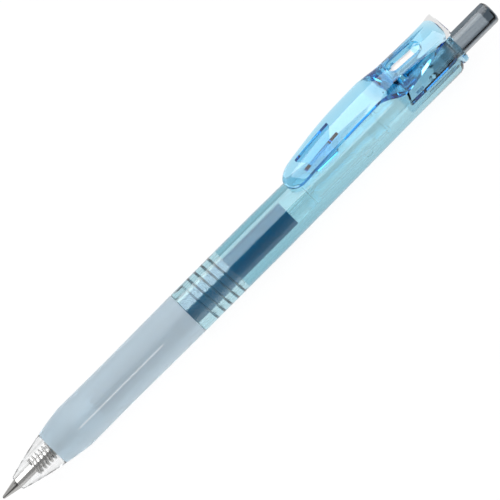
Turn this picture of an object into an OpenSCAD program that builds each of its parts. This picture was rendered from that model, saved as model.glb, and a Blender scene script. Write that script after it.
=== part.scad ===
// Retractable gel pen with a sprung, hinged clip, stored with its point out.
// Every sub-part is drawn along Z: ball at z = 0, push button at the far end, clip towards +X.
// lay() then lays the pen down: point towards -X, button towards +X, clip up, barrel on z = 0.

/* [Lengths along the pen] */
// Metal point that shows in front of the nose
point_out = 4.3; // [3.6:0.1:5.2]
// Clear nose in front of the grip
nose_len = 10.2; // [8.5:0.1:13]
// Rubber grip
grip_len = 39.5; // [32:0.1:48]
// Coloured barrel behind the grip
barrel_len = 76.3; // [63:0.1:92]
// Rim of the clip holder behind the barrel
rim_len = 1.9; // [1.5:0.1:2.4]
// Push button that shows behind the rim while the point is out
button_out = 10.1; // [8:0.1:12.2]
// Part of the rear end that the push mechanism takes up
mechanism_len = 20.8; // [20.8:0.1:22]

/* [Refill] */
// Outer radius of the ink tube
refill_r = 3; // [2.5:0.05:3.6]
// Wall of the ink tube
tube_wall = 0.7; // [0.5:0.05:0.9]
// Ink column behind the tip holder
ink_len = 56.1; // [20:0.1:60]
// Clear follower grease behind the ink
follower_len = 7; // [4:0.5:9]
// Radius of the writing ball
ball_r = 0.25; // [0.2:0.05:0.35]
// Radius of the metal tip behind its cone
tip_r = 1.15; // [0.95:0.05:1.4]
// Travel of the refill from point out to point in
travel = 5.6; // [5.3:0.1:5.6]
// Extra forward travel before the cam lets go
overshoot = 1.2; // [0.8:0.1:1.4]

/* [Front section] */
// Play of the ink tube inside the front section
front_play = 0.45; // [0.3:0.05:0.6]
// Wall of the core that carries the grip
core_wall = 0.55; // [0.45:0.05:0.9]
// Rubber thickness at the thickest end
grip_wall = 1.17; // [0.97:0.01:1.5]
// Height of the screw thread
thread_h = 0.25; // [0.2:0.01:0.32]
// Length of the threaded tail
thread_len = 12.75; // [12:0.05:15.5]
// Thread pitch
thread_pitch = 1.95; // [1.6:0.05:2.2]
// Radius at the front edge of the nose
nose_front_r = 1.75; // [1.7:0.05:2.1]
// Radius of the grip and the nose where they meet
nose_rear_r = 4.12; // [4.1:0.01:4.3]

/* [Barrel] */
// Wall of the barrel over the screw thread
barrel_wall = 0.85; // [0.7:0.01:1.1]
// Play of the ink tube inside the barrel
barrel_play = 0.7; // [0.5:0.05:0.9]
// Wall of the barrel around the clip holder
rear_wall = 1.08; // [0.9:0.01:1.3]
// Straight stretch of the barrel before its taper
straight_len = 24; // [15:0.5:29]
// Half angle of the rear cut-out that takes the clip holder
cutout_half_angle = 74; // [60:1:80]

/* [Push button] */
// Corner radius of the six-sided button
button_r = 2.72; // [2.4:0.01:3.3]
// Rounding of the button's end
button_round = 1.2; // [0.8:0.1:1.4]
// Radius of the round inner end
crown_r = 2.1; // [1.8:0.05:2.3]
// Depth of the cam teeth
tooth_h = 0.9; // [0.6:0.1:1]

/* [Clip] */
// Length of the clip
clip_len = 45.9; // [39:0.1:47]
// Half width of the clip
clip_half_w = 4.2; // [3.5:0.05:4.7]
// Half width of its front end
clip_front_half_w = 3.5; // [2.9:0.05:3.8]
// Height of the clip's crest over the barrel
clip_rise = 4.97; // [4.8:0.01:5.6]
// Drop of the press pad below the crest
pad_drop = 1.9; // [1.4:0.05:2]
// Height of the hinge over the barrel
pivot_rise = 1.72; // [1.6:0.01:1.9]
// Radius of the hinge trunnions
trunnion_r = 0.9; // [0.7:0.05:1]
// Width of the leaf spring
leaf_w = 2.4; // [1.8:0.1:3]

/* [Springs] */
// Wire diameter of the return spring
wire_d = 0.4; // [0.3:0.05:0.45]
// Outer radius of the return spring
spring_r = 2.1; // [2:0.05:2.4]
// Pitch of the return spring's open coils
spring_pitch = 1.05; // [0.8:0.05:1.4]
// Thickness of the leaf spring
leaf_t = 0.2; // [0.15:0.05:0.25]

/* [Clearances] */
// Running clearance between a turning or sliding pair
run_gap = 0.05; // [0.03:0.01:0.08]
// Gap between parts that pass each other
pass_gap = 0.1; // [0.08:0.01:0.15]
// Free play between the cam teeth
tooth_gap = 0.4; // [0.3:0.05:0.6]
// Fit of pieces that are pushed together for good
fit_gap = 0.03; // [0.02:0.01:0.05]

/* [Hidden] */
$fn = 72;
eps = 0.01;

// Places along the pen
z_nose = point_out;
z_grip = z_nose + nose_len;
z_body = z_grip + grip_len;
z_rear = z_body + barrel_len;
z_rim = z_rear + rim_len;
z_end = z_rim + button_out;
z_thread_end = z_body + thread_len;
z_refill_end = z_rear - mechanism_len;

// Radii, worked out from the refill outwards
tube_in = refill_r - tube_wall;
core_in = refill_r + front_play;
core_r = core_in + core_wall;
thread_r = core_r + thread_h;
thread_bore = thread_r + pass_gap;
barrel_r = thread_bore + barrel_wall;
bore_r = refill_r + barrel_play;
grip_r = core_r + grip_wall;

// Radii, worked out from the button outwards
rib_in = button_r + 0.23;
liner_in = rib_in + 0.25;
liner_r = liner_in + 0.5;
rear_r = liner_r + rear_wall;
fin_r = rib_in - pass_gap;
lug_r = liner_in - pass_gap;
rim_r = liner_r + 0.24;

// Outline of the barrel
z_taper = z_body + straight_len;
z_slim = z_rear - 15.3;
rear_round = 1.3;

// Front section
z_seat = z_nose + 4.8;
seat_bore = spring_r + 0.4;
nose_bore = tip_r + run_gap;
z_core_step = z_seat + 10.4;
z_shoulder = z_core_step + overshoot + 0.3;
key_w = 0.5;
key_h = 0.25;
key_angle = 54;
core_flare = 3.5;
core_front_r = nose_rear_r - 0.4;

// Refill
flange_len = 1.5;
z_tube = z_shoulder + flange_len;
stem_len = 4.5;
z_ink = z_tube + stem_len;
z_ink_end = z_ink + ink_len;
z_follower_end = z_ink_end + follower_len;
holder_front_r = spring_r - wire_d - 0.2;
z_holder = z_seat + 4;
tip_insert = 4;
feed_r = 0.6;
tip_bore = 0.45;

// Push mechanism
plug_len = 3;
z_fin = z_rear - 11.1;
fin_len = 2;
z_tooth = z_rear - 6.1;
z_rib = z_fin + fin_len + 0.2;
z_rib_end = z_rear - 1.3;
rotor_r = crown_r;
rotor_stem_r = 1.75;
pin_r = 1.2;
pin_len = 3.4;
z_body_step = z_rear - 2.7;
button_bore = pin_r + pass_gap;
stop_lug_len = 0.8;
stop_lug_w = 0.9;
z_shoulder_plate = z_rim - 1;
teeth = 8;
fins = 4;

// Clip and its holder
z_pivot = z_rear - 11.3;
pivot_x = rear_r + pivot_rise;
z_clip_rear = z_rim + 0.3;
z_clip = z_clip_rear - clip_len;
z_crest = z_rear - 16.3;
crest_x = rear_r + clip_rise;
front_drop = 2.65;
crown_h = 0.7;
edge_t = 0.9;
nose_round = 4;
pad_len = 24;
arch_depth = 2;
clip_cavity = clip_half_w - 1.4;
roof_t = 1.05;
lug_half = clip_cavity - 0.35;
lug_round = 1.25;
trunnion_end = clip_cavity + 0.8;
jaw_y = 1.8;
jaw_t = 0.8;
jaw_front = 4.9;
jaw_rear = 15.1;
z_cutout = z_rear - 13.6;
cutout_slant = 1.4;
cutout_x = rear_r * cos(cutout_half_angle);
cutout_top_x = rear_r * cos(41);

// Lays a part drawn along Z down on the ground, clip up
module lay() {
    translate([-z_end / 2, 0, max(barrel_r, rear_r)])
        rotate([0, 90, 0]) rotate([0, 0, 180]) children();
}

// Round bar between two places along the pen
module bar(z0, z1, r) {
    translate([0, 0, z0]) cylinder(h = z1 - z0, r = r);
}

// Ring between two places along the pen
module ring(z0, z1, r_out, r_in) {
    difference() {
        bar(z0, z1, r_out);
        bar(z0 - 1, z1 + 1, r_in);
    }
}

// Turned solid from [radius, z] points
module turned(points) {
    rotate_extrude() polygon(points);
}

// Side outline in [z, x], given its thickness across the pen
module across(y0, y1) {
    // polygon X becomes z and polygon Y becomes x
    multmatrix([[0, 1, 0, 0], [0, 0, 1, 0], [1, 0, 0, 0], [0, 0, 0, 1]])
        translate([0, 0, y0]) linear_extrude(y1 - y0) children();
}

// Points from a to b, bowed outwards by sag in the middle, as [radius, z]
function bow(a, b, sag, n) = [for (i = [0:n])
    let(t = i / n) [a[0] + (b[0] - a[0]) * t + 4 * sag * t * (1 - t), a[1] + (b[1] - a[1]) * t]];

// Quarter round from angle a0 to a1 about a centre, as [radius, z]
function arc(c, r, a0, a1, n) = [for (i = [0:n])
    let(a = a0 + (a1 - a0) * i / n) [c[0] + r * cos(a), c[1] + r * sin(a)]];

function smooth(t) = let(u = min(1, max(0, t))) u * u * (3 - 2 * u);

// Radius of the barrel at z
function barrel_at(z) = barrel_r
    + (rear_r - barrel_r) * min(1, max(0, (z - z_taper) / (z_slim - z_taper)));

// Outside of the barrel, grown by gap
module barrel_outside(gap) {
    turned([[0, z_body - gap], [barrel_r - 0.12 + gap, z_body - gap], [barrel_r + gap, z_body + 0.12],
        [barrel_r + gap, z_taper], [rear_r + gap, z_slim], [rear_r + gap, z_rear - rear_round],
        [rear_r - 0.25 + gap, z_rear - 0.55], [rear_r - 0.75 + gap, z_rear], [0, z_rear]]);
}

// Side outline of the rear cut-out, shrunk by gap
module cutout_outline(gap) {
    polygon([[z_cutout + gap, cutout_x + gap], [z_cutout + cutout_slant + gap, cutout_top_x],
        [z_cutout + cutout_slant + gap, rear_r + 1], [z_rear + 1, rear_r + 1],
        [z_rear + 1, cutout_x + gap]]);
}

// Rear barrel: transparent moulding with the female thread in front and the clip cut-out behind
module barrel() {
    color("skyblue", 0.5) difference() {
        barrel_outside(0);
        bar(z_body - 1, z_thread_end + 0.1, thread_bore);
        bar(z_body, z_cutout - 1, bore_r);
        bar(z_cutout - 1 - eps, z_rear + 1, liner_r + fit_gap);
        across(-rear_r - 1, rear_r + 1) cutout_outline(0);
        gate_mark();
    }
}

// Shallow round gate mark on the side of the barrel
module gate_mark() {
    gate_z = z_rear - 26.8;
    gate_angle = 81;
    gate_r = 0.9;
    gate_depth = 0.12;
    rotate([0, 0, gate_angle]) translate([barrel_at(gate_z) - gate_depth, 0, gate_z])
        rotate([0, 90, 0]) cylinder(h = 1, r = gate_r);
}

// Outside of the front section: nose, core under the grip and threaded tail
module front_outside(gap = 0) {
    turned(concat([[0, z_nose]],
        arc([nose_front_r - 0.3, z_nose + 0.3], 0.3, -90, -10, 4),
        bow([nose_front_r + 0.02, z_nose + 0.4], [nose_rear_r, z_grip], 0.14, 8),
        [[core_front_r + gap, z_grip], [core_front_r + gap, z_grip + 1], [core_r + gap, z_grip + core_flare],
        [core_r + gap, z_thread_end], [0, z_thread_end]]));
    for (side = [0, 180]) rotate([0, 0, key_angle + side])
        translate([core_r - 0.3, -key_w / 2 - gap, z_grip + 6.9 - gap])
            cube([0.3 + key_h + gap, key_w + 2 * gap, grip_len - 15 + 2 * gap]);
}

// Threaded tail, one round ridge per turn
module thread_ridges() {
    ridge_w = 0.75;
    first = 3.6;
    turns = floor((thread_len - first - ridge_w) / thread_pitch);
    for (i = [0:turns]) translate([0, 0, z_body + first + i * thread_pitch])
        turned([[core_r - 0.1, -ridge_w / 2], [core_r, -ridge_w / 2], [thread_r, -ridge_w / 6],
            [thread_r, ridge_w / 6], [core_r, ridge_w / 2], [core_r - 0.1, ridge_w / 2]]);
}

// Front section: one clear moulding that is nose, core and male thread
module front_section() {
    color("gainsboro", 0.5) difference() {
        union() {
            front_outside();
            thread_ridges();
        }
        bar(z_nose - 1, z_seat + eps, nose_bore);
        bar(z_seat, z_core_step + eps, seat_bore);
        bar(z_core_step, z_thread_end + 1, core_in);
    }
}

// Rubber grip, stretched over the core
module grip() {
    z_wide = z_grip + 6.3;
    z_waist = z_grip + 20;
    front_gap = 0.1;
    color("lightsteelblue") difference() {
        turned(concat([[0, z_grip + front_gap]],
            bow([nose_rear_r, z_grip + front_gap], [grip_r - 0.09, z_wide], 0.07, 6),
            bow([grip_r - 0.07, z_wide + 0.9], [grip_r - 0.14, z_waist], -0.01, 4),
            [[grip_r, z_body - 0.4], [grip_r - 0.06, z_body], [0, z_body]]));
        front_outside(fit_gap);
    }
}

// Cross-section of the clip at z: half width, crest, crown, lower edge and rise of the underside
function clip_half(z) = let(u = min(1, (z - z_clip) / nose_round), v = max(0, (z - z_clip_rear + 1.2) / 1.2))
    (clip_front_half_w + (clip_half_w - clip_front_half_w) * smooth((z - z_clip - 1.5) / 16))
    * sqrt(1 - pow(1 - u, 2)) - 0.9 * (1 - sqrt(1 - v * v));
function clip_crest(z) = z < z_crest
    ? crest_x - front_drop * pow((z_crest - z) / (z_crest - z_clip), 2.4)
    : crest_x - pad_drop * smooth((z - z_crest) / pad_len);
function clip_crown(z) = crown_h * min(1, clip_half(z) / clip_half_w);
function clip_drop(z) = let(v = max(0, (z - z_clip_rear + 1.2) / 1.2)) 1 - sqrt(1 - v * v);
function cheek_edge(z) = let(d = z - z_pivot) pivot_x - 1.9 + (d < -0.5
    ? 3 * smooth((-1.5 - d) / 5)
    : 0.17 * pow(d + 0.5, 1.15));
function clip_deep(z) = smooth((z - z_pivot + 6.9) / 1.1);
function clip_edge(z) = let(s = clip_deep(z))
    (clip_crest(z) - clip_crown(z) - edge_t) * (1 - s) + cheek_edge(z) * s;
function clip_ring(z) = let(h = clip_half(z), c = clip_crest(z) - clip_drop(z), b = clip_edge(z) + 0.4 * clip_drop(z),
    k = clip_crown(z), rise = 0.85 * k * (1 - clip_deep(z)), n = 14) concat(
    [for (i = [0:n]) let(a = -90 + 180 * i / n, s = sin(a))
        [b + (c - k * s * s - b) * pow(max(0, cos(a)), 0.27), h * s, z]],
    [for (i = [1:n - 1]) let(s = 1 - 2 * i / n, y = z - (z > z_clip + clip_len / 2 ? arch_depth * (1 - s * s) : 0),
        e = z > z_pivot - 1 ? b : clip_edge(y)) [e + rise * (1 - s * s), h * s, z]]);

// Solid through a row of rings that all have the same number of points
module loft(rings) {
    n = len(rings[0]);
    m = len(rings);
    polyhedron(points = [for (r = rings) for (p = r) p], faces = concat(
        [[for (i = [0:n - 1]) i]],
        [for (j = [0:m - 2]) for (i = [0:n - 1]) let(k = (i + 1) % n)
            [j * n + i, (j + 1) * n + i, (j + 1) * n + k]],
        [for (j = [0:m - 2]) for (i = [0:n - 1]) let(k = (i + 1) % n)
            [j * n + i, (j + 1) * n + k, j * n + k]],
        [[for (i = [n - 1:-1:0]) (m - 1) * n + i]]));
}

// Stations of the clip's rings, close together at its rounded ends
function clip_stations() = concat(
    [for (i = [1:8]) z_clip + nose_round * (1 - cos(11.25 * i))],
    [for (i = [1:40]) z_clip + nose_round + (clip_len - nose_round - 1.2) * i / 40],
    [for (i = [1:5]) z_clip_rear - 1.2 + 1.2 * sin(17.5 * i)]);

// Two ribs under the clip's front that bear on the barrel
module clip_jaws() {
    for (side = [-1, 1]) across(side * jaw_y - jaw_t / 2, side * jaw_y + jaw_t / 2)
        polygon(concat([[z_clip + jaw_front + 2.4, barrel_r - 1], [z_clip + jaw_rear - 3, barrel_r - 1],
            [z_clip + jaw_rear, clip_crest(z_clip + jaw_rear) - 1.4]],
            [for (i = [6:-1:0]) let(z = z_clip + jaw_front + (jaw_rear - jaw_front) * i / 6)
                [z, clip_crest(z) - 0.8]]));
}

// Hollow of the clip's head that takes the holder's lug and the leaf spring
module clip_hollow() {
    z0 = z_pivot - 2.8;
    z1 = z_clip_rear - 1.4;
    across(-clip_cavity, clip_cavity)
        polygon([[z0, rear_r - 1.5], [z0, clip_crest(z0) - 2.2], [z0 + 0.8, clip_crest(z0) - roof_t - 0.2],
            [z_pivot + 1.5, pivot_x + lug_round + leaf_t + 0.3], [z_pivot + 4.5, clip_crest(z_pivot + 5) - roof_t],
            [z1 - 0.8, clip_crest(z1 - 1) - roof_t], [z1, clip_crest(z1 - 1) - roof_t - 0.8],
            [z1, rear_r - 1.5]]);
    for (side = [-1, 1]) translate([pivot_x, side * (clip_cavity - 0.1 + 0.5), z_pivot])
        rotate([90, 0, 0]) cylinder(h = 1, r = trunnion_r + run_gap, center = true);
}

// Clip: one transparent moulding, hinged on the holder's trunnions.
// Its skin is a free-form shell, so resize() takes the whole clip as one fine mesh, at its own size.
module clip() {
    color("deepskyblue", 0.6) resize([0, 0, 0]) difference() {
        union() {
            loft([for (z = clip_stations()) clip_ring(z)]);
            clip_jaws();
        }
        clip_hollow();
        barrel_outside(pass_gap);
    }
}

// Lug of the clip holder with the trunnions that the clip turns on
module holder_lug() {
    z_foot = z_cutout + cutout_slant + pass_gap;
    across(-lug_half, lug_half) {
        translate([z_pivot, pivot_x]) circle(r = lug_round);
        polygon([[z_foot, rear_r - 1], [z_foot, rear_r + pass_gap], [z_pivot - lug_round, rear_r + 2 * pass_gap],
            [z_pivot - lug_round, pivot_x], [z_pivot + lug_round, pivot_x],
            [z_pivot + lug_round + 1.4, rear_r - 1]]);
    }
    translate([pivot_x, 0, z_pivot]) rotate([90, 0, 0])
        cylinder(h = 2 * trunnion_end - 0.2, r = trunnion_r, center = true);
}

// Clip holder: insert in the barrel's rear end that carries the hinge and guides the button
module clip_holder() {
    color("dodgerblue", 0.6) difference() {
        union() {
            bar(z_cutout - 0.9, z_rear, liner_r);
            intersection() {
                barrel_outside(0);
                across(-rear_r - 1, rear_r + 1) cutout_outline(run_gap);
            }
            turned([[0, z_rear - 0.1], [liner_r, z_rear - 0.1], [liner_r, z_rear],
                [rim_r - 0.15, z_rear + 0.15], [rim_r, z_rear + 0.5], [rim_r, z_rim - 0.5],
                [rim_r - 0.15, z_rim - 0.15], [rim_r - 0.5, z_rim], [0, z_rim]]);
            holder_lug();
        }
        bar(z_cutout - 2, z_shoulder_plate, liner_in);
        translate([0, 0, z_rear]) linear_extrude(rim_len + 1) button_outline(run_gap);
    }
    color("dodgerblue", 0.6) intersection() {
        ring(z_rib, z_rib_end, liner_in + 0.1, rib_in);
        for (i = [0:fins - 1]) rotate([0, 0, 45 + 90 * i]) linear_extrude(z_rim)
            polygon([[0, 0], [5, -0.9], [5, 0.9]]);
    }
}

// Leaf spring: bent strip, hooked over the lug, that lifts the clip's press pad
module clip_spring() {
    lug_front = z_pivot - lug_round - 0.05;
    lug_top = pivot_x + lug_round + 0.05;
    z_bend = z_pivot + 4.3;
    z_tongue = z_pivot + 7.5;
    roof = clip_crest(z_tongue) - roof_t - 0.05;
    color("silver") intersection() {
        across(-leaf_w / 2, leaf_w / 2)
            polygon([[lug_front, rear_r + 0.3], [lug_front, lug_top], [z_pivot + 1, lug_top],
                [z_bend, roof - leaf_t], [z_tongue, roof - leaf_t], [z_tongue, roof], [z_bend, roof],
                [z_pivot + 1, lug_top + leaf_t],
                [lug_front - 0.1, lug_top + leaf_t], [lug_front - leaf_t, lug_top + 0.1],
                [lug_front - leaf_t, rear_r + 0.3]]);
        translate([rear_r - 1, 0, 0]) rotate([0, 90, 0]) linear_extrude(8) {
            translate([-z_tongue + leaf_w / 2, 0]) circle(r = leaf_w / 2);
            translate([-z_tongue + leaf_w / 2, -leaf_w / 2]) square([z_tongue - leaf_w / 2 - z_pivot, leaf_w]);
            translate([-z_pivot - 0.2, -leaf_w / 3]) square([4, 2 * leaf_w / 3]);
        }
    }
}

// Six-sided outline with rounded corners, grown by gap, a flat towards the clip
module button_outline(gap) {
    round_r = 0.6;
    corner = button_r - round_r;
    polygon([for (k = [0:5]) for (j = [-2:2]) let(a = 30 + 60 * k, b = a + 15 * j)
        [corner * cos(a) + (round_r + gap) * cos(b), corner * sin(a) + (round_r + gap) * sin(b)]]);
}

// Row of V notches around a tube's end, pointing up the pen (way = 1) or down it (way = -1)
module notches(z, r, way) {
    half = PI * r / teeth;
    for (i = [0:teeth - 1]) rotate([0, 0, i * 360 / teeth]) translate([0, 0, z])
        rotate([90, 0, 90]) linear_extrude(r + eps)
            polygon([[-half, -way * eps], [half, -way * eps], [0, way * tooth_h]]);
}

// Push button: six-sided outside, round crown with cam teeth inside
module push_button() {
    color("slategray") difference() {
        union() {
            intersection() {
                translate([0, 0, z_body_step]) linear_extrude(z_end - z_body_step) button_outline(0);
                turned(concat([[0, z_body_step], [button_r + 0.1, z_body_step]],
                    arc([button_r + 0.1 - button_round, z_end - button_round], button_round, 0, 90, 6),
                    [[0, z_end]]));
            }
            bar(z_tooth, z_body_step + eps, crown_r);
            for (side = [0, 180]) rotate([0, 0, side + 180 / teeth])
                translate([0, -stop_lug_w / 2, z_tooth + 0.5]) cube([lug_r, stop_lug_w, stop_lug_len]);
        }
        bar(z_tooth - 1, z_end - 2.2, button_bore);
        notches(z_tooth, crown_r, 1);
    }
}

// Rotor: plugs onto the refill, its fins catch on the guide ribs, its teeth face the button's
module cam_rotor() {
    z_teeth = z_tooth - tooth_gap;
    color("lightblue", 0.5) union() {
        bar(z_refill_end - plug_len, z_refill_end, tube_in - run_gap);
        bar(z_refill_end, z_refill_end + 0.8, refill_r - 0.1);
        bar(z_refill_end, z_fin, rotor_stem_r);
        bar(z_fin - eps, z_teeth + pin_len, pin_r);
        difference() {
            bar(z_fin, z_teeth, rotor_r);
            notches(z_teeth, rotor_r, -1);
        }
        for (i = [0:fins - 1]) rotate([0, 0, 45 + 90 * i]) translate([0, -0.5, z_fin])
            cube([fin_r, 1, fin_len]);
    }
}

// Centre line of the return spring: closed coils at both ends, open coils between
function spring_height(t, closed, open_turns, len) = let(lead = wire_d + 0.01)
    t < closed ? t * lead
    : t < closed + open_turns ? closed * lead + (t - closed) * (len - 2 * closed * lead) / open_turns
    : len - (2 * closed + open_turns - t) * lead;

// Return spring: steel coil between the nose's seat and the tip holder's flange
module return_spring() {
    sides = 8;
    per_turn = 18;
    closed = 1.25;
    free_len = z_shoulder - z_seat - wire_d - 2 * eps;
    open_turns = round(free_len / spring_pitch);
    steps = (2 * closed + open_turns) * per_turn;
    mean_r = spring_r - wire_d / 2;
    color("silver") loft([for (i = [0:steps]) let(t = i / per_turn,
        z = z_seat + wire_d / 2 + eps + spring_height(t, closed, open_turns, free_len))
        [for (j = [0:sides - 1]) let(b = -360 * j / sides, q = mean_r + wire_d / 2 * cos(b))
            [q * cos(360 * t), q * sin(360 * t), z + wire_d / 2 * sin(b)]]]);
}

// Ink tube of the refill, open at both ends
module ink_tube() {
    color("aliceblue", 0.5) ring(z_tube, z_refill_end, refill_r, tube_in);
}

// Gel ink: column in the tube and the thread of ink in the holder and the tip
module gel_ink() {
    color("midnightblue") union() {
        bar(z_ink, z_ink_end, tube_in);
        bar(z_holder + tip_insert, z_ink + eps, feed_r);
        bar(2 * ball_r + 1.2, z_holder + tip_insert + eps, tip_bore);
    }
}

// Follower: clear grease that closes the ink column
module ink_follower() {
    color("ghostwhite", 0.5) bar(z_ink_end, z_follower_end, tube_in);
}

// Tip holder: plastic link between metal tip and tube, its flange takes the return spring
module tip_holder() {
    color("white", 0.7) difference() {
        union() {
            bar(z_holder, z_shoulder + eps, holder_front_r);
            bar(z_shoulder, z_tube, refill_r - 0.05);
            bar(z_tube - eps, z_ink, tube_in);
        }
        bar(z_holder - 1, z_holder + tip_insert, tip_r);
        bar(z_holder, z_ink + 1, feed_r);
    }
}

// Metal tip: turned cone with the ball's socket, pressed into the holder
module metal_tip() {
    mouth_r = ball_r * 0.86;
    cone_len = 4.1;
    z_mouth = ball_r * 0.55;
    color("gainsboro") difference() {
        turned([[0, z_mouth], [mouth_r + 0.06, z_mouth], [mouth_r + 0.13, z_mouth + 0.08], [tip_r, cone_len],
            [tip_r, z_holder + tip_insert], [0, z_holder + tip_insert]]);
        translate([0, 0, ball_r]) sphere(r = ball_r + 0.012);
        bar(ball_r, 2 * ball_r + 0.4, ball_r * 0.6);
        bar(ball_r, 2 * ball_r + 1.3, ball_r * 0.6);
        bar(2 * ball_r + 1.2, z_holder + tip_insert + 1, tip_bore);
    }
}

// Writing ball
module writing_ball() {
    color("dimgray") translate([0, 0, ball_r]) sphere(r = ball_r);
}

lay() barrel();
lay() front_section();
lay() grip();
lay() clip_holder();
lay() clip();
lay() clip_spring();
lay() push_button();
lay() cam_rotor();
lay() return_spring();
lay() ink_tube();
lay() gel_ink();
lay() ink_follower();
lay() tip_holder();
lay() metal_tip();
lay() writing_ball();
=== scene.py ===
import math

import bmesh
import bpy
from mathutils import Matrix, Vector


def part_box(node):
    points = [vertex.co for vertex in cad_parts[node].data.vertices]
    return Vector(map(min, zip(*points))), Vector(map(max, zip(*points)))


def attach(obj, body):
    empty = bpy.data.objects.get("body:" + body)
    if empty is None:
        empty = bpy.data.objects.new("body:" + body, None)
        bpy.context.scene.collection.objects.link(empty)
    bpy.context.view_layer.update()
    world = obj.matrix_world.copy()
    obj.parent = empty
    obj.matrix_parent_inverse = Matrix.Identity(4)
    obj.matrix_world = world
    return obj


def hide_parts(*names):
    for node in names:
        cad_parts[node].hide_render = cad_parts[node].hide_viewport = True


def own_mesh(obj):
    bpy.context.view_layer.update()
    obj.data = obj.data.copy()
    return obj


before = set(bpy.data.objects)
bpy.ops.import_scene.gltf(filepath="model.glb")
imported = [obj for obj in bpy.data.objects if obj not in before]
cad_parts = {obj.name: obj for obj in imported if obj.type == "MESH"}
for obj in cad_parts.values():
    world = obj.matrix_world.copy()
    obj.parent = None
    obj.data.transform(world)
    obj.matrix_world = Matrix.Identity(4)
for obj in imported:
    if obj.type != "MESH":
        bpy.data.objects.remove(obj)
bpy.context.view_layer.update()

# Layout. The pen lies along X: the writing ball at the low end, the push button at the high end,
# the clip straight up. Sizes below are in millimetres, measured along the pen from the ball.
MM = 0.001
tip_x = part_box("writing_ball")[0][0]
axis_z = (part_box("barrel")[0][2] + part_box("barrel")[1][2]) / 2


def along(node, end):
    """Place of a CAD node's front (end 0) or rear (end 1) along the pen, from the ball."""
    return (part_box(node)[end][0] - tip_x) / MM


def spot(z, side, up):
    """Point in the frame: z along the pen, side across it towards the viewer, up towards the clip."""
    return Vector((tip_x + z * MM, -side * MM, axis_z + up * MM))


pen_len = along("push_button", 1)

# Camera. A long lens from the front and above, square to the pen's axis and rolled by 45 degrees,
# so the pen runs from the lower left to the upper right corner.
FRAME_MM = 103.1  # width of the view at the pen
LENS_MM = 250
SENSOR_MM = 36
AIM_RIGHT, AIM_UP = 0.6, 0.86  # from the pen's middle to the middle of the view
elevation = math.radians(47)
roll = math.radians(45)
back = Vector((0, -math.cos(elevation), math.sin(elevation)))
level_up = Vector((0, math.sin(elevation), math.cos(elevation)))
level_right = Vector((1, 0, 0))
right = math.cos(roll) * level_right - math.sin(roll) * level_up
up = math.sin(roll) * level_right + math.cos(roll) * level_up
aim = spot(pen_len / 2, 0, 0) + (AIM_RIGHT * right + AIM_UP * up) * MM
camera = bpy.data.objects.new("camera", bpy.data.cameras.new("camera"))
bpy.context.collection.objects.link(camera)
camera.data.lens = LENS_MM
camera.data.sensor_width = SENSOR_MM
camera.data.clip_start = 0.01
camera.data.clip_end = 20
camera.location = aim + back * (FRAME_MM * LENS_MM / SENSOR_MM * MM)
camera.rotation_mode = "QUATERNION"
camera.rotation_quaternion = Matrix((right, up, back)).transposed().to_quaternion()
bpy.context.scene.camera = camera


def linear(hex_colour):
    """sRGB hex value as linear RGBA."""
    parts = [int(hex_colour[i:i + 2], 16) / 255 for i in (1, 3, 5)]
    return [c / 12.92 if c <= 0.04045 else ((c + 0.055) / 1.055) ** 2.4 for c in parts] + [1.0]


def add(tree, kind, links=(), **settings):
    """Adds a node, sets its properties and input values, and links its inputs."""
    node = tree.nodes.new(kind)
    for key, value in settings.items():
        setattr(node, key, value)
    for key, value in dict(links).items():
        if isinstance(value, bpy.types.NodeSocket):
            tree.links.new(value, node.inputs[key])
        else:
            node.inputs[key].default_value = value
    return node


# Room. A back-lit opal table with even light from all round, which suits clear things best. Gloss
# sees walls in zones: faint down low, bright behind the table and high up past the nose, and dark
# elsewhere. Light that comes through the plastic finds every wall at least half bright.
EVEN_LIGHT = 1.0
SEEN_INSIDE = 0.55
scene = bpy.context.scene
scene.view_settings.view_transform = "Standard"
scene.cycles.max_bounces = 28
scene.cycles.transmission_bounces = 28
scene.cycles.transparent_max_bounces = 24
scene.cycles.glossy_bounces = 10
world = bpy.data.worlds.new("room")
scene.world = world
world.use_nodes = True
tree = world.node_tree
tree.nodes.clear()
rays = add(tree, "ShaderNodeLightPath")
direction = add(tree, "ShaderNodeTexCoord")
axes = add(tree, "ShaderNodeSeparateXYZ", {0: direction.outputs["Generated"]})
low = add(tree, "ShaderNodeMapRange", {"Value": axes.outputs["Z"], "From Min": 0.44, "From Max": 0.54,
                                       "To Min": 0.25, "To Max": 0.02})
far = add(tree, "ShaderNodeMapRange", {"Value": axes.outputs["Y"], "From Min": 0.2, "From Max": 0.7,
                                       "To Min": 0.0, "To Max": 0.8})
end = add(tree, "ShaderNodeMapRange", {"Value": axes.outputs["X"], "From Min": -0.45, "From Max": -0.25,
                                       "To Min": 0.8, "To Max": 0.0})
high = add(tree, "ShaderNodeMapRange", {"Value": axes.outputs["Z"], "From Min": 0.66, "From Max": 0.76})
past_nose = add(tree, "ShaderNodeMath", {0: end.outputs[0], 1: high.outputs[0]}, operation="MULTIPLY")
behind = add(tree, "ShaderNodeMath", {0: low.outputs[0], 1: far.outputs[0]}, operation="MAXIMUM")
walls = add(tree, "ShaderNodeMath", {0: behind.outputs[0], 1: past_nose.outputs[0]}, operation="MAXIMUM")
inside = add(tree, "ShaderNodeMath", {0: rays.outputs["Is Transmission Ray"], 1: SEEN_INSIDE},
             operation="MULTIPLY")
level = add(tree, "ShaderNodeMath", {0: walls.outputs[0], 1: inside.outputs[0]}, operation="MAXIMUM")
zoned = add(tree, "ShaderNodeBackground", {"Color": (1, 1, 1, 1), "Strength": level.outputs[0]})
even = add(tree, "ShaderNodeBackground", {"Color": (1, 1, 1, 1), "Strength": EVEN_LIGHT})
mix = add(tree, "ShaderNodeMixShader", {0: rays.outputs["Is Diffuse Ray"], 1: zoned.outputs[0],
                                        2: even.outputs[0]})
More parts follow.
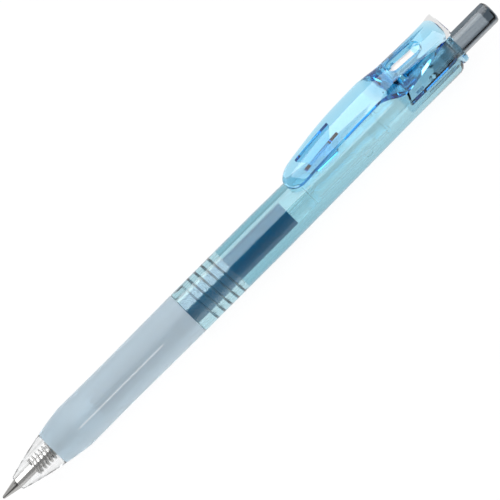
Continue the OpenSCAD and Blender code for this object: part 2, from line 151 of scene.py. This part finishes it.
add(tree, "ShaderNodeOutputWorld", {"Surface": mix.outputs[0]})

# The table's glow is white to the eye, and its skin so dark that no shadow or tint shows on it.
TABLE_SIZE = 6
TABLE_GLOW = 0.94
bpy.ops.mesh.primitive_plane_add(size=TABLE_SIZE)
table = bpy.context.object
table.name = "table"
opal = bpy.data.materials.new("opal acrylic, back-lit")
opal.use_nodes = True
opal_shader = opal.node_tree.nodes["Principled BSDF"]
opal_shader.inputs["Base Color"].default_value = linear("#515253")
opal_shader.inputs["Roughness"].default_value = 0.9
opal_shader.inputs["Specular IOR Level"].default_value = 0.0
opal_shader.inputs["Emission Color"].default_value = (1, 1, 1, 1)
opal_shader.inputs["Emission Strength"].default_value = TABLE_GLOW
table.data.materials.append(opal)

# The softbox hangs overhead, from 61 degrees up in front to 45.5 up behind. Gloss and clear plastic
# show it as a bright band along the pen, and matt skins take no light from it.
BOX_HEIGHT = 0.6
BOX_WIDTH = 0.45
BOX_OVER_X = 0.02
BOX_WATTS = 3.8
softbox = bpy.data.objects.new("softbox", bpy.data.lights.new("softbox", "AREA"))
bpy.context.collection.objects.link(softbox)
softbox.data.shape = "RECTANGLE"
front_edge = BOX_HEIGHT / math.tan(math.radians(61))
rear_edge = BOX_HEIGHT / math.tan(math.radians(45.5))
softbox.data.size = BOX_WIDTH
softbox.data.size_y = front_edge + rear_edge
softbox.location = (BOX_OVER_X, (rear_edge - front_edge) / 2, BOX_HEIGHT)
softbox.data.energy = BOX_WATTS
softbox.visible_diffuse = False
softbox.visible_camera = False

# Barrel. The rear tube: light blue polycarbonate, moulded and polished, screwed onto the front section.
# Its colour is deepest where light goes through most of it, the pieces behind it show sharp, and faint
# flow ripples are all that breaks its gloss.
PITCH = 1.95
GROOVE = 0.44
GROOVE_DEPTH = 0.22
BORE_R = 4.35
RUN_OUT = 0.5  # the thread starts and ends over this length
RING_STEP = 0.07
ON_BORE = 0.03  # points this near to the bore's radius are pushed
THREAD_FROM, THREAD_TO = 2.9, 11.9  # behind the grip
POLYCARBONATE_IOR = 1.58
grip_rear = along("grip", 1)
thread_end = along("front_section", 1)
thread_start = grip_rear + THREAD_FROM
thread_stop = grip_rear + THREAD_TO


def put(mesh, name, body, *nodes):
    """Puts a finished mesh in the scene in place of CAD nodes, riding on their body."""
    piece = bpy.data.objects.new(name, mesh)
    bpy.context.collection.objects.link(piece)
    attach(piece, body)
    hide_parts(*nodes)
    return piece


def welded(node, body, name, angle=32, carve=None):
    """A smooth-shaded copy of a CAD node's skin, its loose triangles merged, riding on the node's body.
    Edges that turn more than angle stay sharp. carve works on the merged skin before it is shaded."""
    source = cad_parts[node]
    shell = bmesh.new()
    shell.from_mesh(source.data)
    shell.transform(source.matrix_world)
    bmesh.ops.remove_doubles(shell, verts=shell.verts, dist=0.002 * MM)
    if carve:
        carve(shell)
    for face in shell.faces:
        face.smooth = True
    for edge in shell.edges:
        edge.smooth = edge.is_manifold and edge.calc_face_angle(0) < math.radians(angle)
    mesh = bpy.data.meshes.new(name)
    shell.to_mesh(mesh)
    shell.free()
    return put(mesh, name, body, node)


def dress(piece, material):
    """Gives a piece its one material and the record's slot for it."""
    piece.data.materials.clear()
    piece.data.materials.append(material)


def clear_plastic(name, tint, per_metre, ior, roughness, ripple_gap=0.0, ripple_high=0.0,
                  surface="#FFFFFF"):
    """Clear moulded plastic. tint is the colour that light takes on inside it and per_metre how fast.
    Lamps shine through it, so it casts no hard shadow. Ripples are its flow marks, ripple_gap apart."""
    material = bpy.data.materials.new(name)
    material.use_nodes = True
    tree = material.node_tree
    tree.nodes.clear()
    glass = add(tree, "ShaderNodeBsdfPrincipled", {"Base Color": linear(surface), "Roughness": roughness,
                                                    "IOR": ior, "Transmission Weight": 1.0})
    if ripple_high:
        place = add(tree, "ShaderNodeTexCoord")
        flow = add(tree, "ShaderNodeMapping", {"Vector": place.outputs["Object"], "Scale": (0.25, 1, 1)})
        wave = add(tree, "ShaderNodeTexNoise", {"Vector": flow.outputs[0], "Scale": 1 / (ripple_gap * MM),
                                                "Detail": 2.0, "Roughness": 0.4})
        relief = add(tree, "ShaderNodeBump", {"Height": wave.outputs[0], "Strength": 1.0,
                                              "Distance": ripple_high * MM})
        tree.links.new(relief.outputs[0], glass.inputs["Normal"])
    through = add(tree, "ShaderNodeBsdfTransparent", {"Color": linear(surface)})
    rays = add(tree, "ShaderNodeLightPath")
    mix = add(tree, "ShaderNodeMixShader", {0: rays.outputs["Is Shadow Ray"], 1: glass.outputs[0],
                                            2: through.outputs[0]})
    depth = add(tree, "ShaderNodeVolumeAbsorption", {"Color": linear(tint), "Density": per_metre})
    add(tree, "ShaderNodeOutputMaterial", {"Surface": mix.outputs[0], "Volume": depth.outputs[0]})
    return material


def thread_at(z, share):
    """Height of the thread's V, from 0 to 1, at z and at a share of a whole turn round the pen."""
    phase = ((z - thread_start) / PITCH - share) % 1.0 * PITCH
    fade = min(1, max(0, (z - thread_start) / RUN_OUT)) * min(1, max(0, (thread_stop - z) / RUN_OUT))
    return max(0, 1 - abs(2 * phase / GROOVE - 1)) * fade


def cut_thread(shell):
    """Cuts the bore's front stretch into narrow rings and pushes the thread's groove outwards."""
    rings = int((thread_stop - thread_start) / RING_STEP)
    for i in range(rings + 1):
        x = tip_x + (thread_start + (thread_stop - thread_start) * i / rings) * MM
        near = [f for f in shell.faces
                if min(v.co.x for v in f.verts) < x < max(v.co.x for v in f.verts)]
        edges = list({e for f in near for e in f.edges})
        verts = list({v for f in near for v in f.verts})
        bmesh.ops.bisect_plane(shell, geom=near + edges + verts, plane_co=(x, 0, 0),
                               plane_no=(1, 0, 0), dist=1e-7)
    for v in shell.verts:
        side, rise = v.co.y, v.co.z - axis_z
        r = math.hypot(side, rise)
        if abs(r - BORE_R * MM) < ON_BORE * MM:
            share = math.atan2(-side, rise) / (2 * math.pi) % 1.0
            push = GROOVE_DEPTH * MM * thread_at((v.co.x - tip_x) / MM, share)
            v.co.y += side / r * push
            v.co.z += rise / r * push


barrel = welded("barrel", "barrel", "barrel_tube", carve=cut_thread)
blue_tube = clear_plastic("blue polycarbonate, moulded", "#56C8D8", 460, POLYCARBONATE_IOR, 0.015,
                          ripple_gap=5, ripple_high=0.0015)
dress(barrel, blue_tube)

# Front section. One colourless polycarbonate moulding that is the nose, the core under the grip and the
# threaded tail: a single-start screw thread with steep flanks, moulded in one shot and polished. It has
# almost no tint of its own, so edges and the spring inside it are all that the eye finds.
CORE_R = 4.0
NECK_R = 3.72  # behind the nose's shoulder, under the grip's front lip
NECK_END, CORE_FROM = 0.9, 3.4  # behind the grip's front
THREAD_R = 4.25
NOSE_FRONT_R, NOSE_REAR_R = 1.77, 4.12
SWELL = 0.14  # how far the nose's side bulges past a straight cone
RIM = 0.4  # length of the rounded rim round the nose's mouth
GAP = 0.1  # between the nose's shoulder and the grip
TAIL_BEVEL = 0.1
CORE_BORE_R, SPRING_BORE_R, TIP_BORE_R = 3.45, 2.5, 1.2
CORE_BORE_FROM, SPRING_SEAT = 15.2, 4.8  # behind the nose's front
THREAD_STEP = 0.06
NOSE_STEPS = 16
AROUND = 96
nose_front = along("front_section", 0)
grip_front = along("grip", 0)


def turned(rings, name):
    """Closed skin through rings of [z, radius or list of radii], out from the bore and back to it."""
    shell = bmesh.new()
    rows = []
    for z, r in rings:
        radii = r if isinstance(r, list) else [r] * AROUND
        rows.append([shell.verts.new(spot(z, q * math.sin(2 * math.pi * k / AROUND),
                                          q * math.cos(2 * math.pi * k / AROUND)))
                     for k, q in enumerate(radii)])
    for one, two in zip(rows, rows[1:] + rows[:1]):
        for k in range(AROUND):
            n = (k + 1) % AROUND
            shell.faces.new((one[k], one[n], two[n], two[k]))
    bmesh.ops.recalc_face_normals(shell, faces=shell.faces)
    for face in shell.faces:
        face.smooth = True
    for edge in shell.edges:
        edge.smooth = edge.calc_face_angle(0) < math.radians(32)
    mesh = bpy.data.meshes.new(name)
    shell.to_mesh(mesh)
    shell.free()
    return mesh


outline = [(nose_front, 1.45), (nose_front + 0.1, 1.62), (nose_front + 0.28, 1.74)]
nose_len = grip_front - GAP - nose_front - RIM
for i in range(NOSE_STEPS + 1):
    part = i / NOSE_STEPS
    cone_r = NOSE_FRONT_R + (NOSE_REAR_R - NOSE_FRONT_R) * part
    outline.append((nose_front + RIM + nose_len * part, cone_r + 4 * SWELL * part * (1 - part)))
outline += [(grip_front - GAP, NECK_R), (grip_front + NECK_END, NECK_R),
            (grip_front + CORE_FROM, CORE_R), (thread_start, CORE_R)]
steps = int((thread_stop - thread_start) / THREAD_STEP)
for i in range(1, steps):
    z = thread_start + (thread_stop - thread_start) * i / steps
    outline.append((z, [CORE_R + (THREAD_R - CORE_R) * thread_at(z, k / AROUND) for k in range(AROUND)]))
outline += [(thread_stop, CORE_R), (thread_end - TAIL_BEVEL, CORE_R), (thread_end, CORE_R - TAIL_BEVEL),
            (thread_end, CORE_BORE_R), (nose_front + CORE_BORE_FROM, CORE_BORE_R),
            (nose_front + CORE_BORE_FROM, SPRING_BORE_R), (nose_front + SPRING_SEAT, SPRING_BORE_R),
            (nose_front + SPRING_SEAT, TIP_BORE_R), (nose_front, TIP_BORE_R)]
front = put(turned(outline, "front_moulding"), "front_moulding", "front_section", "front_section")
clear_front = clear_plastic("clear polycarbonate, moulded", "#DDE0E2", 60, POLYCARBONATE_IOR, 0.015)
dress(front, clear_front)

# Grip. A sleeve of frosted translucent elastomer, stretched over the core. Its skin is a fine matt spark
# texture, drawn at 0.3 mm so that it shows. It scatters light, so what lies under it is a soft tone, and
# the core's rib, which presses against it, comes through as one thin pale line.
SPARK = 0.3
RIB_AT = math.radians(-54)  # round the pen from straight up, towards the viewer
RIB_HALF, RIB_SOFT = 0.016, 0.034  # radians to where the line starts to fade and is gone
RIB_IN = (21.0, 22.0)
RIB_OUT = (45.5, 46.3)


def new_finish(name):
    """A new material with its node tree, its shader and the piece's own coordinates in metres."""
    material = bpy.data.materials.new(name)
    material.use_nodes = True
    tree = material.node_tree
    return material, tree, tree.nodes["Principled BSDF"], add(tree, "ShaderNodeTexCoord").outputs["Object"]


grip = welded("grip", "front_section", "grip_sleeve")
rubber, tree, skin, place = new_finish("frosted elastomer, moulded")
axes = add(tree, "ShaderNodeSeparateXYZ", {0: place})
height = add(tree, "ShaderNodeMath", {0: axes.outputs["Z"], 1: axis_z}, operation="SUBTRACT")
azimuth = add(tree, "ShaderNodeMath", {0: axes.outputs["Y"], 1: height.outputs[0]}, operation="ARCTAN2")
off_rib = add(tree, "ShaderNodeMath", {0: azimuth.outputs[0], 1: RIB_AT}, operation="SUBTRACT")
near_rib = add(tree, "ShaderNodeMath", {0: off_rib.outputs[0]}, operation="ABSOLUTE")
line = add(tree, "ShaderNodeMapRange", {"Value": near_rib.outputs[0], "From Min": RIB_HALF,
                                        "From Max": RIB_SOFT, "To Min": 1.0, "To Max": 0.0})
rib_in = add(tree, "ShaderNodeMapRange", {"Value": axes.outputs["X"], "From Min": tip_x + RIB_IN[0] * MM,
                                          "From Max": tip_x + RIB_IN[1] * MM})
rib_out = add(tree, "ShaderNodeMapRange", {"Value": axes.outputs["X"], "From Min": tip_x + RIB_OUT[0] * MM,
                                           "From Max": tip_x + RIB_OUT[1] * MM, "To Min": 1.0, "To Max": 0.0})
rib_len = add(tree, "ShaderNodeMath", {0: rib_in.outputs[0], 1: rib_out.outputs[0]}, operation="MULTIPLY")
rib = add(tree, "ShaderNodeMath", {0: line.outputs[0], 1: rib_len.outputs[0]}, operation="MULTIPLY")
tone = add(tree, "ShaderNodeMix", {"Factor": rib.outputs[0], "A": linear("#E0F1FB"),
                                   "B": linear("#F4FAFD")}, data_type="RGBA")
tree.links.new(tone.outputs["Result"], skin.inputs["Base Color"])
spark = add(tree, "ShaderNodeTexNoise", {"Vector": place, "Scale": 1 / (SPARK * MM), "Detail": 2.0})
relief = add(tree, "ShaderNodeBump", {"Height": spark.outputs[0], "Strength": 0.35, "Distance": 0.02 * MM})
tree.links.new(relief.outputs[0], skin.inputs["Normal"])
matt = add(tree, "ShaderNodeMapRange", {"Value": spark.outputs[0], "To Min": 0.32, "To Max": 0.42})
tree.links.new(matt.outputs[0], skin.inputs["Roughness"])
skin.inputs["IOR"].default_value = 1.4
clear = add(tree, "ShaderNodeMapRange", {"Value": rib.outputs[0], "To Min": 0.6, "To Max": 0.35})
tree.links.new(clear.outputs[0], skin.inputs["Transmission Weight"])
dress(grip, rubber)

# Refill. An extruded clear tube with blue-black gel ink, a plug of clear grease behind the ink, and a
# plastic holder for the metal tip. Ink and grease wet the wall and leave no air at it, so the tube's
# skin is closed round them and they lie inside it. All leave a needle-thin hole on the axis.
TUBE_R = 3.0
TUBE_IN = 2.3
HOLE_R = 0.4
FILL_HOLE_R = 0.42
LAP = 0.02  # how far the ink reaches into the tube's wall, and the wall over the holder
APART = 0.05  # clear stretch between holder and ink, and between ink and grease
POLYPROPYLENE_IOR = 1.49
tube_front = along("ink_tube", 0)
tube_rear = along("ink_tube", 1)
ink_rear = along("ink_follower", 0)
grease_rear = along("ink_follower", 1)
holder_rear = along("tip_holder", 1)
tube_rings = [(tube_front, TUBE_IN), (tube_front, TUBE_R), (tube_rear, TUBE_R), (tube_rear, TUBE_IN),
              (grease_rear, TUBE_IN), (grease_rear, HOLE_R), (holder_rear - LAP, HOLE_R),
              (holder_rear - LAP, TUBE_IN)]
tube = put(turned(tube_rings, "refill_tube"), "refill_tube", "refill", "ink_tube")
clear_tube = clear_plastic("polypropylene tube, extruded", "#E8F6F8", 40, POLYPROPYLENE_IOR, 0.03,
                           ripple_gap=2.5, ripple_high=0.002)
dress(tube, clear_tube)

# The ink is one deep matt tone with faint clouds, because the tube in front of it has all the gloss.
INK_CLOUDS = 4
ink_rings = [(holder_rear + APART, FILL_HOLE_R), (holder_rear + APART, TUBE_IN + LAP),
             (ink_rear - 0.25, TUBE_IN + LAP), (ink_rear - 0.08, 2.2), (ink_rear, 1.9),
             (ink_rear, FILL_HOLE_R)]
ink = put(turned(ink_rings, "ink_column"), "ink_column", "refill", "gel_ink")
gel, tree, skin, place = new_finish("gel ink, blue-black")
cloud = add(tree, "ShaderNodeTexNoise", {"Vector": place, "Scale": 1 / (INK_CLOUDS * MM), "Detail": 2.0})
tone = add(tree, "ShaderNodeMix", {"Factor": cloud.outputs[0], "A": linear("#0A76A4"),
                                   "B": linear("#0E80AE")}, data_type="RGBA")
tree.links.new(tone.outputs["Result"], skin.inputs["Base Color"])
skin.inputs["Roughness"].default_value = 0.5
skin.inputs["Specular IOR Level"].default_value = 0.0
dress(ink, gel)

# The grease lies in the tube's clear skin, so its index is the ratio of the two, 1.02, and it shows as
# a faint haze.
grease_rings = [(ink_rear + APART, FILL_HOLE_R), (ink_rear + APART, TUBE_IN - 0.1),
                (grease_rear - 1.2, TUBE_IN - 0.1), (grease_rear - 1.4, FILL_HOLE_R)]
grease = put(turned(grease_rings, "follower_grease"), "follower_grease", "refill", "ink_follower")
dress(grease, clear_plastic("follower grease", "#EEF6F6", 25, 1.02, 0.05))

# The holder's natural polypropylene is cloudy, so it blurs what is seen through it.
holder = welded("tip_holder", "refill", "tip_carrier")
cloudy = clear_plastic("natural polypropylene, moulded", "#E6F0F2", 120, POLYPROPYLENE_IOR, 0.12)
dress(holder, cloudy)

# Metal tip. Stainless steel turned from wire. Lathe marks round it streak its reflections, and are drawn
# about 0.28 mm apart so that they show. Between dark room and bright walls the cone is all contrast.
LATHE_WAVE = 0.9  # one mark takes up pi / 10 of this
tip = welded("metal_tip", "refill", "tip_cone", 20)
steel, tree, skin, place = new_finish("stainless steel, turned")
lathe = add(tree, "ShaderNodeTexWave", {"Vector": place, "Scale": 1 / (LATHE_WAVE * MM),
                                        "Distortion": 0.6, "Detail": 1.0}, bands_direction="X")
relief = add(tree, "ShaderNodeBump", {"Height": lathe.outputs[1], "Strength": 0.08, "Distance": 0.004 * MM})
tree.links.new(relief.outputs[0], skin.inputs["Normal"])
tone = add(tree, "ShaderNodeMix", {"Factor": lathe.outputs[1], "A": linear("#ACABA9"),
                                   "B": linear("#BEBDBB")}, data_type="RGBA")
tree.links.new(tone.outputs["Result"], skin.inputs["Base Color"])
skin.inputs["Metallic"].default_value = 1.0
skin.inputs["Roughness"].default_value = 0.16
dress(tip, steel)

# The writing ball is tungsten carbide, ground and lapped: darker than the cone that is crimped round it,
# with a fine grain that keeps its highlight from being a clean point.
GRAIN = 0.03
ball = welded("writing_ball", "refill", "ball", 60)
carbide, tree, skin, place = new_finish("tungsten carbide, lapped")
grain = add(tree, "ShaderNodeTexNoise", {"Vector": place, "Scale": 1 / (GRAIN * MM)})
rough = add(tree, "ShaderNodeMapRange", {"Value": grain.outputs[0], "To Min": 0.12, "To Max": 0.3})
tree.links.new(rough.outputs[0], skin.inputs["Roughness"])
skin.inputs["Base Color"].default_value = linear("#5C5C5E")
skin.inputs["Metallic"].default_value = 1.0
dress(ball, carbide)

# Return spring. A coil of hard-drawn spring steel between the nose's seat and the tip holder's flange,
# close-wound at both ends. Geometry Nodes wind it from its turns, lengths and radii.
WIRE = 0.4
COIL_R = 2.1 - WIRE / 2
CLOSED_TURNS = 1.25
CLOSED_LEAD = WIRE + 0.01
OPEN_LEAD = 1.05
PER_TURN = 36
spring_front = along("return_spring", 0) + WIRE / 2
spring_rear = along("return_spring", 1) - WIRE / 2
all_turns = 2 * CLOSED_TURNS + round((spring_rear - spring_front) / OPEN_LEAD)

winding = bpy.data.node_groups.new("coil winding", "GeometryNodeTree")
identifiers = {}
for name, kind in (("Turns", "Float"), ("Closed turns", "Float"), ("Length", "Float"),
                   ("Closed length", "Float"), ("Coil radius", "Float"), ("Wire radius", "Float"),
                   ("Steel", "Material")):
    socket = winding.interface.new_socket(name, in_out="INPUT", socket_type="NodeSocket" + kind)
    identifiers[name] = socket.identifier
winding.interface.new_socket("Geometry", in_out="OUTPUT", socket_type="NodeSocketGeometry")
entry = add(winding, "NodeGroupInput").outputs

path = add(winding, "GeometryNodeCurvePrimitiveLine")
points = add(winding, "GeometryNodeResampleCurve", {0: path.outputs[0], "Count": int(all_turns * PER_TURN)})
share = add(winding, "GeometryNodeSplineParameter")
turn_at = add(winding, "ShaderNodeMath", {0: share.outputs["Factor"], 1: entry["Turns"]},
              operation="MULTIPLY").outputs[0]
angle = add(winding, "ShaderNodeMath", {0: turn_at, 1: -2 * math.pi}, operation="MULTIPLY")
last_at = add(winding, "ShaderNodeMath", {0: entry["Turns"], 1: entry["Closed turns"]},
              operation="SUBTRACT").outputs[0]
open_len = add(winding, "ShaderNodeMath", {0: entry["Closed length"], 1: -2.0, 2: entry["Length"]},
               operation="MULTIPLY_ADD")
first = add(winding, "ShaderNodeMapRange", {"Value": turn_at, "From Max": entry["Closed turns"],
                                            "To Max": entry["Closed length"]})
middle = add(winding, "ShaderNodeMapRange", {"Value": turn_at, "From Min": entry["Closed turns"],
                                             "From Max": last_at, "To Max": open_len.outputs[0]})
last = add(winding, "ShaderNodeMapRange", {"Value": turn_at, "From Min": last_at,
                                           "From Max": entry["Turns"], "To Max": entry["Closed length"]})
both = add(winding, "ShaderNodeMath", {0: first.outputs[0], 1: middle.outputs[0]})
forward = add(winding, "ShaderNodeMath", {0: both.outputs[0], 1: last.outputs[0]})
spoke = add(winding, "ShaderNodeCombineXYZ", {"X": forward.outputs[0], "Z": entry["Coil radius"]})
swung = add(winding, "ShaderNodeVectorRotate", {"Vector": spoke.outputs[0], "Angle": angle.outputs[0]},
            rotation_type="X_AXIS")
coil = add(winding, "ShaderNodeVectorMath", {0: swung.outputs[0], 1: spot(spring_front, 0, 0)})
wound = add(winding, "GeometryNodeSetPosition", {0: points.outputs[0], "Position": coil.outputs[0]})
section = add(winding, "GeometryNodeCurvePrimitiveCircle", {"Resolution": 10, "Radius": entry["Wire radius"]})
swept = add(winding, "GeometryNodeCurveToMesh", {0: wound.outputs[0], 1: section.outputs[0],
                                                 "Fill Caps": True})
soft = add(winding, "GeometryNodeSetShadeSmooth", {0: swept.outputs[0]})
real = add(winding, "GeometryNodeRealizeInstances", {0: soft.outputs[0]})
painted = add(winding, "GeometryNodeSetMaterial", {0: real.outputs[0], "Material": entry["Steel"]})
add(winding, "NodeGroupOutput", {0: painted.outputs[0]})

# Drawn wire has a soft shine with fine streaks, drawn at 0.15 mm, so each turn shows light and dark.
STREAK = 0.15
wire_steel, tree, skin, place = new_finish("spring steel, drawn")
drawn = add(tree, "ShaderNodeTexNoise", {"Vector": place, "Scale": 1 / (STREAK * MM), "Detail": 2.0})
tone = add(tree, "ShaderNodeMix", {"Factor": drawn.outputs[0], "A": linear("#9C9B9A"),
                                   "B": linear("#B9B8B6")}, data_type="RGBA")
tree.links.new(tone.outputs["Result"], skin.inputs["Base Color"])
skin.inputs["Metallic"].default_value = 1.0
skin.inputs["Roughness"].default_value = 0.28

blank = bpy.data.objects.new("blank", bpy.data.meshes.new("blank"))
bpy.context.collection.objects.link(blank)
winder = blank.modifiers.new("winder", "NODES")
winder.node_group = winding
for name, value in (("Turns", all_turns), ("Closed turns", CLOSED_TURNS),
                    ("Length", (spring_rear - spring_front) * MM),
                    ("Closed length", CLOSED_TURNS * CLOSED_LEAD * MM),
                    ("Coil radius", COIL_R * MM), ("Wire radius", WIRE / 2 * MM), ("Steel", wire_steel)):
    winder[identifiers[name]] = value
graph = bpy.context.evaluated_depsgraph_get()
coil_mesh = bpy.data.meshes.new_from_object(blank.evaluated_get(graph))
coil_mesh.name = "return_coil"
blank.modifiers.remove(winder)
bpy.data.objects.remove(blank)
coil_skin = bmesh.new()
coil_skin.from_mesh(coil_mesh)
bmesh.ops.recalc_face_normals(coil_skin, faces=coil_skin.faces)
coil_skin.to_mesh(coil_mesh)
coil_skin.free()
spring = put(coil_mesh, "return_coil", "front_section", "return_spring")
dress(spring, wire_steel)

# Clip holder. A pale blue polycarbonate insert in the barrel's rear end. It carries the clip's
# trunnions and guides the push button. Thick parts of it gather a much deeper blue than thin ones.
insert = welded("clip_holder", "barrel", "clip_carrier")
pale_blue = clear_plastic("pale blue polycarbonate, moulded", "#52C6E2", 420, POLYCARBONATE_IOR, 0.015,
                          ripple_gap=3, ripple_high=0.0015)
dress(insert, pale_blue)

# Clip. One moulding of bright blue polycarbonate, crowned on top and hollow under its press pad, hinged
# on the holder. It is polished all over, and a slot in the pad shows the leaf spring below it. A little
# of its blue is on the surface too, so even its thinnest walls have colour.
SLOT_W = 3.4
SLOT_INSET = 0.4  # from the leaf's front end to the slot's
ARC_STEPS = 12
PUNCH_UNDER, PUNCH_OVER = 0.1, 4  # below and above the leaf's top
leaf_low, leaf_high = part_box("clip_spring")


def cut_slot(shell):
    """Cuts the round-ended slot over the leaf spring out of the clip's skin, worked in millimetres."""
    bmesh.ops.scale(shell, vec=(1 / MM, 1 / MM, 1 / MM), verts=shell.verts)
    front_x = leaf_low[0] / MM + SLOT_W / 2 + SLOT_INSET
    rear_x = leaf_high[0] / MM - SLOT_W / 2
    rim = [(x - way * SLOT_W / 2 * math.sin(math.pi * k / ARC_STEPS),
            way * SLOT_W / 2 * math.cos(math.pi * k / ARC_STEPS))
           for x, way in ((front_x, 1), (rear_x, -1)) for k in range(ARC_STEPS + 1)]
    punch = bmesh.new()
    bottom = [punch.verts.new((x, y, leaf_high[2] / MM - PUNCH_UNDER)) for x, y in rim]
    top = [punch.verts.new((x, y, leaf_high[2] / MM + PUNCH_OVER)) for x, y in rim]
    punch.faces.new(bottom)
    punch.faces.new(top)
    for k in range(len(rim)):
        n = (k + 1) % len(rim)
        punch.faces.new((bottom[k], bottom[n], top[n], top[k]))
    bmesh.ops.recalc_face_normals(punch, faces=punch.faces)
    pair = []
    for name, skin in (("uncut", shell), ("punch", punch)):
        data = bpy.data.meshes.new(name)
        skin.to_mesh(data)
        pair.append(bpy.data.objects.new(name, data))
        bpy.context.collection.objects.link(pair[-1])
    punch.free()
    slot = pair[0].modifiers.new("slot", "BOOLEAN")
    slot.operation = "DIFFERENCE"
    slot.solver = "FAST"
    slot.object = pair[1]
    graph = bpy.context.evaluated_depsgraph_get()
    slotted = bpy.data.meshes.new_from_object(pair[0].evaluated_get(graph))
    shell.clear()
    shell.from_mesh(slotted)
    for piece in pair:
        bpy.data.objects.remove(piece)
    bmesh.ops.scale(shell, vec=(MM, MM, MM), verts=shell.verts)


clip = welded("clip", "clip", "clip_moulding", 38, carve=cut_slot)
bright_blue = clear_plastic("bright blue polycarbonate, moulded", "#42D8F1", 480, POLYCARBONATE_IOR, 0.015,
                            ripple_gap=3, ripple_high=0.0015, surface="#C9EBF9")
dress(clip, bright_blue)

# Leaf spring. A strip of pale rolled steel, bent over the holder's lug, that lifts the press pad. Rolling
# leaves fine streaks along it and a satin skin, so it reads as a pale warm patch in the slot.
ROLLED = 0.1
leaf = welded("clip_spring", "barrel", "leaf_strip")
strip, tree, skin, place = new_finish("steel strip, rolled")
rolled = add(tree, "ShaderNodeMapping", {"Vector": place, "Scale": (0.1, 1, 1)})
grain = add(tree, "ShaderNodeTexNoise", {"Vector": rolled.outputs[0], "Scale": 1 / (ROLLED * MM),
                                         "Detail": 3.0})
tone = add(tree, "ShaderNodeMix", {"Factor": grain.outputs[0], "A": linear("#EFE0DA"),
                                   "B": linear("#FBF2EC")}, data_type="RGBA")
tree.links.new(tone.outputs["Result"], skin.inputs["Base Color"])
skin.inputs["Metallic"].default_value = 0.35
skin.inputs["Roughness"].default_value = 0.4
dress(leaf, strip)
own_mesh(leaf)

# Push button. Six-sided, in translucent smoke grey polycarbonate, with a round crown inside the barrel.
# Its solid end and its corners gather the darkest tone.
button = welded("push_button", "button", "push_cap", 24)
smoke = clear_plastic("smoke polycarbonate, moulded", "#8095A3", 700, 1.5, 0.04,
                      ripple_gap=2, ripple_high=0.001)
dress(button, smoke)

# Rotor. The clear moulded cam that plugs into the refill and turns on by one step with each push. It
# shows only as faint edges through the insert and the barrel.
rotor = welded("cam_rotor", "rotor", "cam_insert")
dress(rotor, clear_plastic("clear acetal, moulded", "#EAF4F6", 60, 1.48, 0.05))
